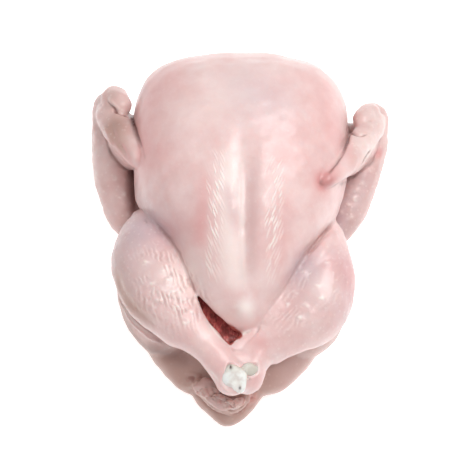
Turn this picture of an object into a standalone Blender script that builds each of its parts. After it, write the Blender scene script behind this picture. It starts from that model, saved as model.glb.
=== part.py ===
"""A whole raw turkey, plucked, drawn and trussed for the oven, lying on its back.

The bird is one continuous piece of flesh and skin. Its limbs are elliptical sections carried along
the line of the bones, its trunk is a row of sections across the body. A voxel remesh runs them
together as the skin does, a smoothing pass fills the folds, and the body cavity is cut out of the
tail end. Metres, +Z up, breast up, +Y towards the neck, +X to the bird's right drumstick as seen
from the tail. All tables are in millimetres and are read through MM.
"""

import math

import bmesh
import bpy
from mathutils import Matrix, Vector

MM = 0.001

# --- Driving dimensions -------------------------------------------------------------------------
VOXEL = 3.0 * MM  # grain of the remesh that runs the limbs and the trunk together
SKIN_SMOOTHING = 4  # passes that round the folds where a limb meets the trunk
TRIANGLE_SHARE = 0.088  # share of the remeshed faces that the decimation keeps
FOOT_DEPTH = 2.5 * MM  # height of the flat that the bird's back is pressed to by its own weight
AROUND = 20  # points round a limb's section
AROUND_TRUNK = 48  # points round a trunk's section
STEPS = 6  # sections between two stations of a table

SKIN_COLOUR = (0.80, 0.55, 0.50, 1.0)
SKIN_ROUGHNESS = 0.42

# Trunk stations, front to back: distance along the body, sideways shift of the middle, half-width,
# height of the widest place, top, bottom.
BREAST = (
    (187, 1, 3, 96, 101, 91),
    (185, 0, 46, 96, 122, 66),
    (179, -1, 74, 94, 138, 46),
    (168, -2, 95, 92, 154, 30),
    (150, -1, 110, 88, 170, 22),
    (125, 0, 116, 85, 180, 20),
    (85, 0, 116, 84, 186, 20),
    (45, 0, 112, 86, 184, 22),
    (5, 1, 99, 92, 175, 30),
    (-34, 2, 72, 98, 162, 44),
    (-70, -1, 53, 101, 146, 62),
    (-96, -4, 38, 102, 130, 78),
    (-111, -2, 25, 103, 118, 88),
    (-119, 1, 12, 103, 111, 95),
    (-122, 2, 3, 103, 105, 101),
)
BACK = (
    (158, 0, 4, 40, 44, 36),
    (154, 0, 48, 38, 62, 14),
    (135, 0, 76, 36, 74, 2),
    (95, 0, 92, 36, 80, -2),
    (45, 0, 98, 38, 82, -2),
    (0, -4, 110, 40, 84, -2),
    (-50, -5, 108, 42, 82, -2),
    (-95, -7, 104, 40, 76, -1),
    (-130, -8, 88, 36, 66, 3),
    (-152, -9, 70, 34, 56, 8),
    (-168, -10, 50, 34, 48, 15),
    (-178, -11, 4, 34, 37, 31),
)
TRUNK_SQUARENESS = 2.35  # exponent of the sections: 2 is an ellipse, more is squarer
# The breast muscles stand higher than the keel bone, so the skin dips between them in a furrow a
# little to the right of the middle. The tip of the bone lifts it in a knob at the furrow's end.
FURROW_DEPTH = 4.5
FURROW_AT = 4.0
FURROW_HALF_WIDTH = 9.0
FURROW_FROM, FURROW_TO = 75.0, -94.0
KNOB_HEIGHT = 3.0
KNOB_AT = (4.0, -104.0)
KNOB_RADIUS = 9.0

# Limb stations, along the bone: x, y, z, half-width, half-height.
THIGH_LEFT = (
    (-50, -122, 42, 38, 34),
    (-68, -103, 46, 43, 40),
    (-87, -70, 51, 44, 42),
    (-98, -38, 60, 36, 38),
    (-101, -8, 66, 25, 29),
    (-104, 14, 60, 16, 22),
)
THIGH_RIGHT = (
    (34, -124, 40, 38, 34),
    (53, -104, 44, 43, 40),
    (74, -72, 49, 43, 42),
    (84, -40, 58, 31, 38),
    (84, -8, 68, 22, 28),
)
DRUMSTICK_LEFT = (
    (-102, 12, 76, 18, 21),
    (-103, -2, 82, 26, 28),
    (-100.5, -23, 86, 34.5, 35),
    (-95.5, -46, 90, 41, 39),
    (-82, -76, 94, 40.5, 37),
    (-60, -109, 97, 29.5, 27),
    (-46, -124, 99, 21, 20),
    (-30, -141, 100, 17.5, 17),
    (-16, -159, 99, 17.5, 17),
    (-7, -172, 97, 20, 18.5),
    (-1, -184, 93, 19, 18),
)
DRUMSTICK_RIGHT = (
    (86, 12, 70, 12, 20),
    (90, -4, 77, 18, 26),
    (88, -30, 82, 27, 33),
    (85, -59, 86, 35, 37),
    (73, -93, 89, 37.5, 35),
    (50, -113, 91, 30, 27),
    (31, -125, 90, 27, 22),
    (16, -137, 90, 24, 19),
    (10, -152, 91, 18, 17),
    (9, -164, 92, 15, 15),
    (6, -174, 90, 14, 13),
    (3, -184, 88, 9.5, 10),
)
NECK_FLAP = (
    (2, 168, 98, 30, 8),
    (2, 178, 80, 40, 9),
    (2, 178, 58, 44, 9),
    (1, 167, 35, 42, 10),
    (0, 150, 17, 36, 10),
    (0, 126, 9, 26, 8),
)
TAIL = (
    (-13, -140, 34, 50, 24),
    (-14, -165, 33, 41, 21),
    (-14, -187, 35, 29, 17),
    (-15, -206, 38, 11, 9),
)
VENT_SKIN = (
    (-48, -163, 46, 6, 7),
    (-42, -168, 53, 8, 9),
    (-33, -174, 56, 10, 9),
    (-22, -181, 55, 12, 9),
    (-10, -185, 53, 11, 9),
    (0, -181, 52, 8, 8),
    (8, -172, 50, 5, 6),
)
VENT_FOLD = (
    (-44, -162, 58, 5, 5),
    (-37, -166, 62, 7, 6),
    (-29, -170, 63, 7, 6),
    (-20, -175, 61, 6, 5),
)
UPPER_ARM_LEFT = (
    (-66, 122, 54, 28, 28),
    (-92, 84, 44, 28, 26),
    (-108, 46, 36, 25, 21),
    (-120, 16, 38, 16, 16),
)
UPPER_ARM_RIGHT = (
    (66, 120, 54, 28, 28),
    (90, 80, 46, 28, 26),
    (103, 40, 40, 24, 22),
    (111, 8, 40, 16, 16),
)
FOREARM_LEFT = (
    (-116, 2, 40, 10, 13),
    (-126, 22, 42, 18, 17),
    (-133, 42, 47, 20, 20),
    (-140, 68, 54, 21.5, 21),
    (-144, 98, 62, 21, 20),
    (-145, 124, 71, 20.5, 18),
    (-143, 144, 80, 20, 15),
    (-140, 159, 88, 15, 10),
)
FOREARM_RIGHT = (
    (100, -8, 40, 9, 13),
    (109, 12, 42, 15, 16),
    (121, 34, 47, 18, 19),
    (133, 66, 56, 19, 21),
    (142, 94, 65, 18.5, 20),
    (145, 114, 74, 18.5, 17.5),
    (144, 130, 81, 18, 14),
    (140, 145, 86, 13, 10),
)
HAND_LEFT = (
    (-146, 144, 82, 13, 12),
    (-143, 126, 92, 16, 14),
    (-134, 107, 101, 17, 14),
    (-122, 86, 112, 15, 13),
    (-111, 67, 122, 13, 12),
    (-102, 54, 129, 10, 9),
)
HAND_RIGHT = (
    (146, 130, 86, 12, 12),
    (142, 113, 95, 15, 14),
    (134, 96, 105, 15, 14),
    (122, 73, 119, 15, 13),
    (108, 51, 134, 13, 12),
    (94, 33, 146, 9.5, 9),
    (82, 20, 154, 5, 6),
)
THUMB_LEFT = (
    (-149, 151, 86, 11, 11),
    (-143, 148, 92, 14.5, 13),
    (-137, 140, 99, 15.5, 13),
    (-130, 131, 104, 12.5, 12),
    (-126, 122, 106, 9, 9),
)
THUMB_RIGHT = (
    (149, 130, 88, 11, 11),
    (142, 128, 94, 13, 12),
    (134, 118, 102, 13, 12),
    (128, 108, 107, 10, 10),
    (125, 103, 108, 6, 7),
)
WEB_LEFT = (
    (-98, 128, 50, 12, 16),
    (-116, 126, 58, 14, 18),
    (-131, 115, 72, 15, 22),
    (-132, 100, 82, 13, 27),
    (-123, 82, 92, 11, 29),
    (-114, 70, 100, 8, 23),
)
WEB_RIGHT = (
    (98, 118, 50, 12, 16),
    (116, 116, 60, 13, 18),
    (135, 104, 76, 15, 22),
    (132, 88, 90, 13, 25),
    (121, 70, 104, 12, 23),
    (112, 58, 115, 9, 17),
)
# The skin that stretches over the grooves between breast and legs, and between the two ankles.
GROOVE_LEFT = (
    (-94, -12, 106, 6, 5),
    (-77, -36, 112, 6, 5),
    (-61, -57, 112, 6, 5),
    (-50, -74, 108, 5, 5),
)
GROOVE_RIGHT = (
    (21, -118, 102, 9, 8),
    (34, -103, 107, 10, 8),
    (48, -86, 109, 10, 8),
    (60, -71, 113, 10, 8),
    (71, -56, 115, 10, 8),
    (82, -43, 116, 9, 8),
    (92, -29, 111, 8, 8),
    (99, -15, 102, 6, 8),
)
ANKLE_WEB = (
    (15, -127, 97, 9, 9),
    (5, -131, 98, 9, 9),
    (-4, -137, 98, 7.5, 9),
    (-12, -145, 97, 6, 9),
)
ANKLE_FOLD = (
    (-14, -148, 100, 9, 9),
    (-5, -150, 101, 10, 9),
    (4, -151, 100, 10, 9),
    (13, -151, 97, 9, 9),
)
LIMBS = (
    THIGH_LEFT,
    THIGH_RIGHT,
    DRUMSTICK_LEFT,
    DRUMSTICK_RIGHT,
    TAIL,
    VENT_SKIN,
    VENT_FOLD,
    UPPER_ARM_LEFT,
    UPPER_ARM_RIGHT,
    FOREARM_LEFT,
    FOREARM_RIGHT,
    HAND_LEFT,
    HAND_RIGHT,
    THUMB_LEFT,
    THUMB_RIGHT,
    WEB_LEFT,
    WEB_RIGHT,
    GROOVE_LEFT,
    GROOVE_RIGHT,
    ANKLE_WEB,
    ANKLE_FOLD,
)
# The emptied body: from inside the rib cage, out under the keel's tip between the legs.
CAVITY = (
    (2, 100, 82, 24, 20),
    (2, 66, 80, 48, 36),
    (0, 10, 76, 58, 42),
    (-4, -50, 73, 52, 39),
    (-8, -94, 74, 37, 27),
    (-13, -120, 83, 22, 19),
    (-15, -130, 95, 12, 13),
)
# The vent, which opens to the rear between the ankles and the tail.
VENT = (
    (-6, -84, 70, 30, 20),
    (-12, -120, 70, 26, 15),
    (-19, -150, 71, 20, 9),
    (-22, -190, 72, 22, 9),
)
# The slit between the left leg and the keel's tip, which widens towards the opening.
SLIT = (
    (-51, -76, 104, 2, 14),
    (-46, -84, 101, 3, 19),
    (-39, -95, 98, 4.5, 22),
    (-28, -109, 95, 6.5, 24),
    (-16, -119, 92, 7, 24),
    (-7, -124, 91, 5, 20),
)


# --- Shapes --------------------------------------------------------------------------------------
def through(rows, steps):
    """Rows of numbers on a smooth Catmull-Rom curve through the rows given."""
    ends = (rows[0], *rows, rows[-1])
    made = []
    for first, a, b, last in zip(ends, ends[1:], ends[2:], ends[3:]):
        for step in range(steps):
            t = step / steps
            row = []
            for p, q, r, s in zip(first, a, b, last):
                bend = 2 * q + (r - p) * t + (2 * p - 5 * q + 4 * r - s) * t * t
                row.append((bend + (3 * q - p - 3 * r + s) * t**3) / 2)
            made.append(row)
    return [*made, list(rows[-1])]


def shell(mesh, rings):
    """Adds a closed tube through the rings to a bmesh, each end drawn to a point."""
    rows = [[mesh.verts.new(point) for point in ring] for ring in rings]
    for ring, following in zip(rows, rows[1:]):
        for i, vert in enumerate(ring):
            beside = (i + 1) % len(ring)
            mesh.faces.new((vert, ring[beside], following[beside], following[i]))
    for ring, outward in ((rows[0], -1), (rows[-1], 1)):
        middle = sum((vert.co for vert in ring), Vector()) / len(ring)
        pole = mesh.verts.new(middle)
        for i, vert in enumerate(ring):
            corners = (vert, ring[(i + 1) % len(ring)], pole)
            mesh.faces.new(corners[::outward])


def limb_rings(stations, across=None):
    """Elliptical sections across a limb's line, closing round both ends like a dome.

    Their width is level, or runs along the direction across where the line stands upright.
    """
    rows = through(stations, STEPS)
    points = [Vector(row[:3]) for row in rows]
    travelled = [0.0]
    for here, following in zip(points, points[1:]):
        travelled.append(travelled[-1] + (following - here).length)
    rings = []
    for i, row in enumerate(rows):
        ahead = points[min(i + 1, len(points) - 1)]
        behind = points[max(i - 1, 0)]
        along = (ahead - behind).normalized()
        side = (across or along.cross(Vector((0, 0, 1)))).normalized()
        normal = side.cross(along)
        from_end = min(travelled[i], travelled[-1] - travelled[i])
        dome = min(from_end / max(row[3], row[4]), 1.0)
        closing = math.sqrt(max(dome * (2 - dome), 0.0004))
        ring = []
        for k in range(AROUND):
            angle = 2 * math.pi * k / AROUND
            sideways = side * (row[3] * math.cos(angle) * closing)
            outwards = normal * (row[4] * math.sin(angle) * closing)
            ring.append((points[i] + sideways + outwards) * MM)
        rings.append(ring)
    return rings


def keel_lift(x, y):
    """How far the furrow and the keel's tip lift or lower the breast at a place, in millimetres."""
    along = (y - FURROW_TO) / (FURROW_FROM - FURROW_TO)
    strength = math.sin(math.pi * along) ** 0.7 if 0 < along < 1 else 0
    furrow = math.exp(-(((x - FURROW_AT) / FURROW_HALF_WIDTH) ** 2))
    reach = math.hypot(x - KNOB_AT[0], y - KNOB_AT[1]) / KNOB_RADIUS
    return KNOB_HEIGHT * math.exp(-(reach**2)) - FURROW_DEPTH * strength * furrow


def trunk_rings(stations):
    """Superelliptical sections across the body, with their own top, bottom and widest height."""
    power = 2 / TRUNK_SQUARENESS
    rings = []
    for y, shift, half_width, widest, top, bottom in through(stations, STEPS):
        ring = []
        for k in range(AROUND_TRUNK):
            angle = 2 * math.pi * k / AROUND_TRUNK
            cosine, sine = math.cos(angle), math.sin(angle)
            across = math.copysign(abs(cosine) ** power, cosine) * half_width
            reach = top - widest if sine > 0 else widest - bottom
            height = widest + math.copysign(abs(sine) ** power, sine) * reach
            if sine > 0:
                height += keel_lift(shift + across, y) * sine
            ring.append(Vector((shift + across, y, height)) * MM)
        rings.append(ring)
    return rings


# --- The bird ------------------------------------------------------------------------------------
def clear_scene():
    for old in list(bpy.data.objects):
        bpy.data.objects.remove(old, do_unlink=True)


def collection(name):
    made = bpy.data.collections.new(name)
    bpy.context.scene.collection.children.link(made)
    return made


def mesh_object(name, mesh, into, parent):
    bmesh.ops.recalc_face_normals(mesh, faces=mesh.faces)
    data = bpy.data.meshes.new(name)
    mesh.to_mesh(data)
    mesh.free()
    made = bpy.data.objects.new(name, data)
    made.parent = parent
    into.objects.link(made)
    return made


def skin_material():
    skin = bpy.data.materials.new("raw_skin")
    skin.use_nodes = True
    shader = skin.node_tree.nodes["Principled BSDF"]
    shader.inputs["Base Color"].default_value = SKIN_COLOUR
    shader.inputs["Roughness"].default_value = SKIN_ROUGHNESS
    shader.inputs["Subsurface Weight"].default_value = 0.2
    return skin


def cutter(name, mesh, into, parent):
    made = mesh_object(name, mesh, into, parent)
    made.hide_render = True
    made.display_type = "WIRE"
    return made


def swept_cutter(name, stations, into, parent):
    mesh = bmesh.new()
    shell(mesh, limb_rings(stations))
    return cutter(name, mesh, into, parent)


def foot_cutter(into, parent):
    """A slab under the bird, whose top is the flat that the back rests on."""
    mesh = bmesh.new()
    side = 0.8
    depth = 0.1
    place = Matrix.Translation((0, 0, FOOT_DEPTH - depth / 2))
    bmesh.ops.create_cube(mesh, size=1, matrix=place @ Matrix.Diagonal((side, side, depth, 1)))
    return cutter("foot_cutter", mesh, into, parent)


def cut(target, name, tool):
    modifier = target.modifiers.new(name, "BOOLEAN")
    modifier.operation = "DIFFERENCE"
    modifier.object = tool


def turkey(into, cutters, parent):
    """The limbs and trunk as overlapping shells, run together, hollowed and pressed flat."""
    mesh = bmesh.new()
    for stations in (BREAST, BACK):
        shell(mesh, trunk_rings(stations))
    for stations in LIMBS:
        shell(mesh, limb_rings(stations))
    shell(mesh, limb_rings(NECK_FLAP, Vector((1, 0, 0))))
    bird = mesh_object("turkey", mesh, into, parent)
    bird.data.materials.append(skin_material())
    remesh = bird.modifiers.new("run_together", "REMESH")
    remesh.mode = "VOXEL"
    remesh.voxel_size = VOXEL
    remesh.use_smooth_shade = True
    smooth = bird.modifiers.new("soften_folds", "SMOOTH")
    smooth.factor = 0.5
    smooth.iterations = SKIN_SMOOTHING
    fewer = bird.modifiers.new("fewer_faces", "DECIMATE")
    fewer.ratio = TRIANGLE_SHARE
    cut(bird, "hollow_body", swept_cutter("cavity_cutter", CAVITY, cutters, parent))
    cut(bird, "open_vent", swept_cutter("vent_cutter", VENT, cutters, parent))
    cut(bird, "open_slit", swept_cutter("slit_cutter", SLIT, cutters, parent))
    cut(bird, "flat_back", foot_cutter(cutters, parent))
    return bird


def stand_on_origin(bird, frame):
    """Moves the frame so that the middle of the bird's flat back is at the origin."""
    bpy.context.view_layer.update()
    evaluated = bird.evaluated_get(bpy.context.evaluated_depsgraph_get())
    corners = [evaluated.matrix_world @ Vector(corner) for corner in evaluated.bound_box]
    low = Vector(map(min, *corners))
    high = Vector(map(max, *corners))
    middle = (low + high) / 2
    frame.location = (-middle.x, -middle.y, -low.z)
    bpy.context.view_layer.update()


def main():
    clear_scene()
    bird_parts = collection("raw_turkey")
    cutters = collection("cutters")
    frame = bpy.data.objects.new("bird_frame", None)
    bird_parts.objects.link(frame)
    bird = turkey(bird_parts, cutters, frame)
    stand_on_origin(bird, frame)


main()
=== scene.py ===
"""A whole raw turkey, plucked, drawn and trussed, lying on its back on a pale studio floor."""

import math

import bmesh
import bpy
import numpy as np
from mathutils import Matrix, Vector


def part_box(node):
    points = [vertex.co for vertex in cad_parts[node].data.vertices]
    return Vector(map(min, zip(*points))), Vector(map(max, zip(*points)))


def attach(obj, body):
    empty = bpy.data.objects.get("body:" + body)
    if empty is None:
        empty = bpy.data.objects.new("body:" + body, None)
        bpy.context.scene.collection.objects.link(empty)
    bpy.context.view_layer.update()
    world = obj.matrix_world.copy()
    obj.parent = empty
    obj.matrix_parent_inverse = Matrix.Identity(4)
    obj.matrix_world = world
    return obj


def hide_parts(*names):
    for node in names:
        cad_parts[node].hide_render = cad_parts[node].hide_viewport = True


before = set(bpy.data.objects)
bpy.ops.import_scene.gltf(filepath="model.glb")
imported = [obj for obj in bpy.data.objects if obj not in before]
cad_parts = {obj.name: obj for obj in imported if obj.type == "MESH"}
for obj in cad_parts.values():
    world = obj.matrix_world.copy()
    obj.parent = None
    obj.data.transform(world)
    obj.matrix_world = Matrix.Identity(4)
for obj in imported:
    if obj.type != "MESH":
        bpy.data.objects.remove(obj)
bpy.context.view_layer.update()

# ---- The bird: meat on the bone ----------------------------------------------------------------
# One carcass of breast, back, legs, wings, tail and neck skin, all in millimetres from the middle
# of the back, breast up and tail towards -Y. Each part is carried along its bones as a tube of
# ellipses, and the tubes overlap where the real muscles lie against each other.
breast = (
    (187, 1, 3, 96, 101, 91), (185, 0, 46, 96, 122, 66), (179, -1, 74, 94, 138, 46),
    (168, -2, 95, 92, 154, 30), (150, -1, 110, 88, 170, 22), (125, 0, 116, 85, 180, 20),
    (85, 0, 116, 84, 186, 20), (45, 0, 112, 86, 184, 22), (5, 1, 99, 92, 175, 30),
    (-34, 2, 72, 98, 162, 44), (-70, -1, 53, 101, 146, 62), (-96, -4, 38, 102, 130, 78),
    (-111, -2, 25, 103, 118, 88), (-119, 1, 12, 103, 111, 95), (-122, 2, 3, 103, 105, 101),
)
back = (
    (158, 0, 4, 40, 44, 36), (154, 0, 48, 38, 62, 14), (135, 0, 76, 36, 74, 2),
    (95, 0, 92, 36, 80, -2),
    (45, 0, 98, 38, 82, -2), (0, -4, 110, 40, 84, -2), (-50, -5, 108, 42, 82, -2),
    (-95, -7, 104, 40, 76, -1), (-130, -8, 88, 36, 66, 3), (-152, -9, 70, 34, 56, 8),
    (-168, -10, 50, 34, 48, 15), (-178, -11, 4, 34, 37, 31),
)
thigh_left = (
    (-50, -122, 42, 38, 34), (-68, -103, 46, 43, 40), (-87, -70, 51, 44, 42),
    (-98, -38, 60, 36, 38),
    (-101, -8, 66, 25, 29), (-104, 14, 60, 16, 22),
)
thigh_right = (
    (34, -124, 40, 38, 34), (53, -104, 44, 43, 40), (74, -72, 49, 43, 42), (84, -40, 58, 31, 38),
    (84, -8, 68, 22, 28),
)
drumstick_left = (
    (-102, 12, 76, 18, 21), (-103, -2, 82, 26, 28), (-100.5, -23, 86, 34.5, 35),
    (-95.5, -46, 90, 41, 39), (-82, -76, 94, 40.5, 37), (-60, -109, 97, 29.5, 27),
    (-46, -124, 99, 21, 20), (-30, -141, 100, 17.5, 17), (-16, -159, 99, 17.5, 17),
    (-7, -172, 97, 20, 18.5), (-1, -184, 93, 19, 18),
)
drumstick_right = (
    (86, 12, 70, 12, 20), (90, -4, 77, 18, 26), (88, -30, 82, 27, 33), (85, -59, 86, 35, 37),
    (73, -93, 89, 37.5, 35), (50, -113, 91, 30, 27), (31, -125, 90, 27, 22), (16, -137, 90, 24, 19),
    (10, -152, 91, 18, 17), (9, -164, 92, 15, 15), (6, -174, 90, 14, 13), (3, -184, 88, 9.5, 10),
)
neck_flap = (
    (2, 168, 98, 30, 8), (2, 178, 80, 40, 9), (2, 178, 58, 44, 9), (1, 167, 35, 42, 10),
    (0, 150, 17, 36, 10), (0, 126, 9, 26, 8),
)
tail = (
    (-13, -140, 34, 50, 24), (-14, -165, 33, 41, 21), (-14, -187, 35, 29, 17),
    (-15, -206, 38, 11, 9),
)
vent_skin = (
    (-48, -163, 46, 6, 7), (-42, -168, 53, 8, 9), (-33, -174, 56, 10, 9), (-22, -181, 55, 12, 9),
    (-10, -185, 53, 11, 9), (0, -181, 52, 8, 8), (8, -172, 50, 5, 6),
)
vent_fold = (
    (-44, -162, 58, 5, 5), (-37, -166, 62, 7, 6), (-29, -170, 63, 7, 6), (-20, -175, 61, 6, 5),
)
upper_arm_left = (
    (-66, 122, 54, 28, 28), (-92, 84, 44, 28, 26), (-108, 46, 36, 25, 21), (-120, 16, 38, 16, 16),
)
upper_arm_right = (
    (66, 120, 54, 28, 28), (90, 80, 46, 28, 26), (103, 40, 40, 24, 22), (111, 8, 40, 16, 16),
)
forearm_left = (
    (-116, 2, 40, 10, 13), (-126, 22, 42, 18, 17), (-133, 42, 47, 20, 20), (-140, 68, 54, 21.5, 21),
    (-144, 98, 62, 21, 20), (-145, 124, 71, 20.5, 18), (-143, 144, 80, 20, 15),
    (-140, 159, 88, 15, 10),
)
forearm_right = (
    (100, -8, 40, 9, 13), (109, 12, 42, 15, 16), (121, 34, 47, 18, 19), (133, 66, 56, 19, 21),
    (142, 94, 65, 18.5, 20), (145, 114, 74, 18.5, 17.5), (144, 130, 81, 18, 14),
    (140, 145, 86, 13, 10),
)
hand_left = (
    (-146, 144, 82, 13, 12), (-143, 126, 92, 16, 14), (-134, 107, 101, 17, 14),
    (-122, 86, 112, 15, 13),
    (-111, 67, 122, 13, 12), (-102, 54, 129, 10, 9),
)
hand_right = (
    (146, 130, 86, 12, 12), (142, 113, 95, 15, 14), (134, 96, 105, 15, 14), (122, 73, 119, 15, 13),
    (108, 51, 134, 13, 12), (94, 33, 146, 9.5, 9), (82, 20, 154, 5, 6),
)
thumb_left = (
    (-149, 151, 86, 11, 11), (-143, 148, 92, 14.5, 13), (-137, 140, 99, 15.5, 13),
    (-130, 131, 104, 12.5, 12), (-126, 122, 106, 9, 9),
)
thumb_right = (
    (149, 130, 88, 11, 11), (142, 128, 94, 13, 12), (134, 118, 102, 13, 12),
    (128, 108, 107, 10, 10),
    (125, 103, 108, 6, 7),
)
web_left = (
    (-98, 128, 50, 12, 16), (-116, 126, 58, 14, 18), (-131, 115, 72, 15, 22),
    (-132, 100, 82, 13, 27),
    (-123, 82, 92, 11, 29), (-114, 70, 100, 8, 23),
)
web_right = (
    (98, 118, 50, 12, 16), (116, 116, 60, 13, 18), (135, 104, 76, 15, 22), (132, 88, 90, 13, 25),
    (121, 70, 104, 12, 23), (112, 58, 115, 9, 17),
)
groove_left = (
    (-94, -12, 106, 6, 5), (-77, -36, 112, 6, 5), (-61, -57, 112, 6, 5), (-50, -74, 108, 5, 5),
)
groove_right = (
    (21, -118, 102, 9, 8), (34, -103, 107, 10, 8), (48, -86, 109, 10, 8), (60, -71, 113, 10, 8),
    (71, -56, 115, 10, 8), (82, -43, 116, 9, 8), (92, -29, 111, 8, 8), (99, -15, 102, 6, 8),
)
ankle_web = (
    (15, -127, 97, 9, 9), (5, -131, 98, 9, 9), (-4, -137, 98, 7.5, 9), (-12, -145, 97, 6, 9),
)
ankle_fold = (
    (-14, -148, 100, 9, 9), (-5, -150, 101, 10, 9), (4, -151, 100, 10, 9), (13, -151, 97, 9, 9),
)
cavity = (
    (2, 100, 82, 24, 20), (2, 66, 80, 48, 36), (0, 10, 76, 58, 42), (-4, -50, 73, 52, 39),
    (-8, -94, 74, 37, 27), (-13, -120, 83, 22, 19), (-15, -130, 95, 12, 13),
)
vent = (
    (-6, -84, 70, 30, 20), (-12, -120, 70, 26, 15), (-19, -150, 71, 20, 9), (-22, -190, 72, 22, 9),
)
slit = (
    (-51, -76, 104, 2, 14), (-46, -84, 101, 3, 19), (-39, -95, 98, 4.5, 22),
    (-28, -109, 95, 6.5, 24),
    (-16, -119, 92, 7, 24), (-7, -124, 91, 5, 20),
)


def smooth_rows(stations, steps=8):
    """Rows on a Catmull-Rom cubic through the stations, so many steps from one to the next."""
    rows = np.asarray(stations, float)
    padded = np.vstack([rows[:1], rows, rows[-1:]])
    t = (np.arange(steps) / steps)[None, :, None]
    first, a, b, last = (padded[i : len(rows) - 1 + i, None] for i in range(4))
    curve = 2 * a + (b - first) * t + (2 * first - 5 * a + 4 * b - last) * t**2
    curve = (curve + (3 * a - first - 3 * b + last) * t**3) / 2
    return np.vstack([curve.reshape(-1, rows.shape[1]), rows[-1:]])


def unit(vectors):
    """Each vector divided by its own length."""
    return vectors / np.linalg.norm(vectors, axis=-1, keepdims=True)


def run_length(line):
    """How far along the line each of its points is."""
    return np.r_[0, np.cumsum(np.linalg.norm(np.diff(line, axis=0), axis=1))]


def limb(stations, level=None, around=32):
    """line(u) + close(u) (side(u) half-width cos v + up(u) half-height sin v), v round the limb.

    close(u) is a quarter circle at each end, so that the limb ends in a dome.
    """
    rows = smooth_rows(stations)
    line, width, height = rows[:, :3], rows[:, 3], rows[:, 4]
    along = unit(np.roll(line, -1, 0) - np.roll(line, 1, 0))
    along[0], along[-1] = unit(line[1] - line[0]), unit(line[-1] - line[-2])
    side = unit(np.broadcast_to(level, along.shape) if level else np.cross(along, (0, 0, 1)))
    up = np.cross(side, along)
    gone = run_length(line)
    dome = np.clip(np.minimum(gone, gone[-1] - gone) / np.maximum(width, height), 0, 1)
    close = np.sqrt(np.maximum(dome * (2 - dome), 0.0004))
    v = np.linspace(0, 2 * np.pi, around, endpoint=False)[None, :, None]
    sideways = side[:, None] * (width * close)[:, None, None] * np.cos(v)
    upwards = up[:, None] * (height * close)[:, None, None] * np.sin(v)
    return line[:, None] + sideways + upwards


def keel_lift(x, y):
    """A bell-shaped furrow between the breast muscles, faded out at its ends, plus a round knob at
    the keel bone's tip."""
    along = np.clip((y + 94) / 169, 0, 1)
    furrow = np.sin(np.pi * along) ** 0.7 * np.exp(-(((x - 4) / 9) ** 2))
    knob = np.exp(-((x - 4) ** 2 + (y + 104) ** 2) / 81)
    return 3.0 * knob - 4.5 * furrow


def trunk(stations, squareness=2.35, around=96):
    """Superellipses |x/w|^n + |z/h|^n = 1 across the body, each with its own top and bottom."""
    y, shift, width, middle, top, bottom = smooth_rows(stations).T[:, :, None]
    v = np.linspace(0, 2 * np.pi, around, endpoint=False)[None, :]
    across = np.sign(np.cos(v)) * np.abs(np.cos(v)) ** (2 / squareness) * width
    rise = np.sign(np.sin(v)) * np.abs(np.sin(v)) ** (2 / squareness)
    height = middle + rise * np.where(np.sin(v) > 0, top - middle, middle - bottom)
    height = height + keel_lift(shift + across, y) * np.clip(np.sin(v), 0, 1)
    return np.stack([shift + across, np.broadcast_to(y, across.shape), height], axis=-1)


def tube_faces(rings, around):
    """Quads between neighbouring rings, and a fan from each end ring to a point after the last."""
    k = np.arange(around)
    quads = np.stack([k, (k + 1) % around, (k + 1) % around + around, k + around], 1)
    quads = (quads[None] + np.arange(rings - 1)[:, None, None] * around).reshape(-1, 4)
    start, end = rings * around, rings * around + 1
    last = (rings - 1) * around
    caps = [((k + 1) % around, k, start) for k in range(around)]
    caps += [(last + k, last + (k + 1) % around, end) for k in range(around)]
    return [*quads.tolist(), *caps]


def placed(name, data):
    """A new object of this mesh, light or camera in the scene."""
    thing = bpy.data.objects.new(name, data)
    bpy.context.scene.collection.objects.link(thing)
    return thing


def closed_tubes(name, grids):
    """One mesh object of closed tubes, each grid's end rings drawn to their own middle points."""
    points, faces, made = [], [], 0
    for grid in grids:
        rings, around = grid.shape[:2]
        points += [grid.reshape(-1, 3), grid[0].mean(0)[None], grid[-1].mean(0)[None]]
        faces += [tuple(i + made for i in face) for face in tube_faces(rings, around)]
        made += rings * around + 2
    mesh = bpy.data.meshes.new(name)
    mesh.from_pydata(np.vstack(points) * 0.001, [], faces)
    shell = bmesh.new()
    shell.from_mesh(mesh)
    bmesh.ops.recalc_face_normals(shell, faces=shell.faces)
    shell.to_mesh(mesh)
    shell.free()
    return placed(name, mesh)


def applied(thing):
    """The object's mesh as its modifiers leave it, with the modifiers taken off."""
    graph = bpy.context.evaluated_depsgraph_get()
    mesh = bpy.data.meshes.new_from_object(thing.evaluated_get(graph))
    thing.modifiers.clear()
    thing.data = mesh
    return mesh


limbs = (
    thigh_left, thigh_right, drumstick_left, drumstick_right, tail, vent_skin, vent_fold,
    upper_arm_left, upper_arm_right, forearm_left, forearm_right, hand_left, hand_right,
    thumb_left, thumb_right, web_left, web_right, groove_left, groove_right, ankle_web,
    ankle_fold,
)
# The loose skin at the vent lies in small folds over one another.
vent_crumple = (
    ((-50, -168, 60, 4, 4), (-44, -172, 64, 5.5, 4.5), (-37, -173, 66, 6, 4.5),
        (-29, -174, 66, 5, 4)),
    ((-36, -179, 61, 4, 4), (-28, -183, 65, 6, 4.5), (-20, -188, 65, 6.5, 4.5),
        (-12, -192, 62, 4.5, 4)),
    ((-14, -191, 61, 4, 4), (-8, -189, 64, 5.5, 4.5), (-2, -186, 64, 5.5, 4.5),
        (4, -180, 61, 4, 4)),
    ((-27, -178, 66, 3.5, 3.5), (-20, -181, 68, 3.5, 3.5), (-12, -184, 68, 3.5, 3.5),
        (-3, -184, 66, 3.5, 3.5)),
)
turkey = closed_tubes("turkey_skin", [
    trunk(breast), trunk(back), *map(limb, limbs), *map(limb, vent_crumple),
    limb(neck_flap, level=(1.0, 0.0, 0.0)),
])

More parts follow.
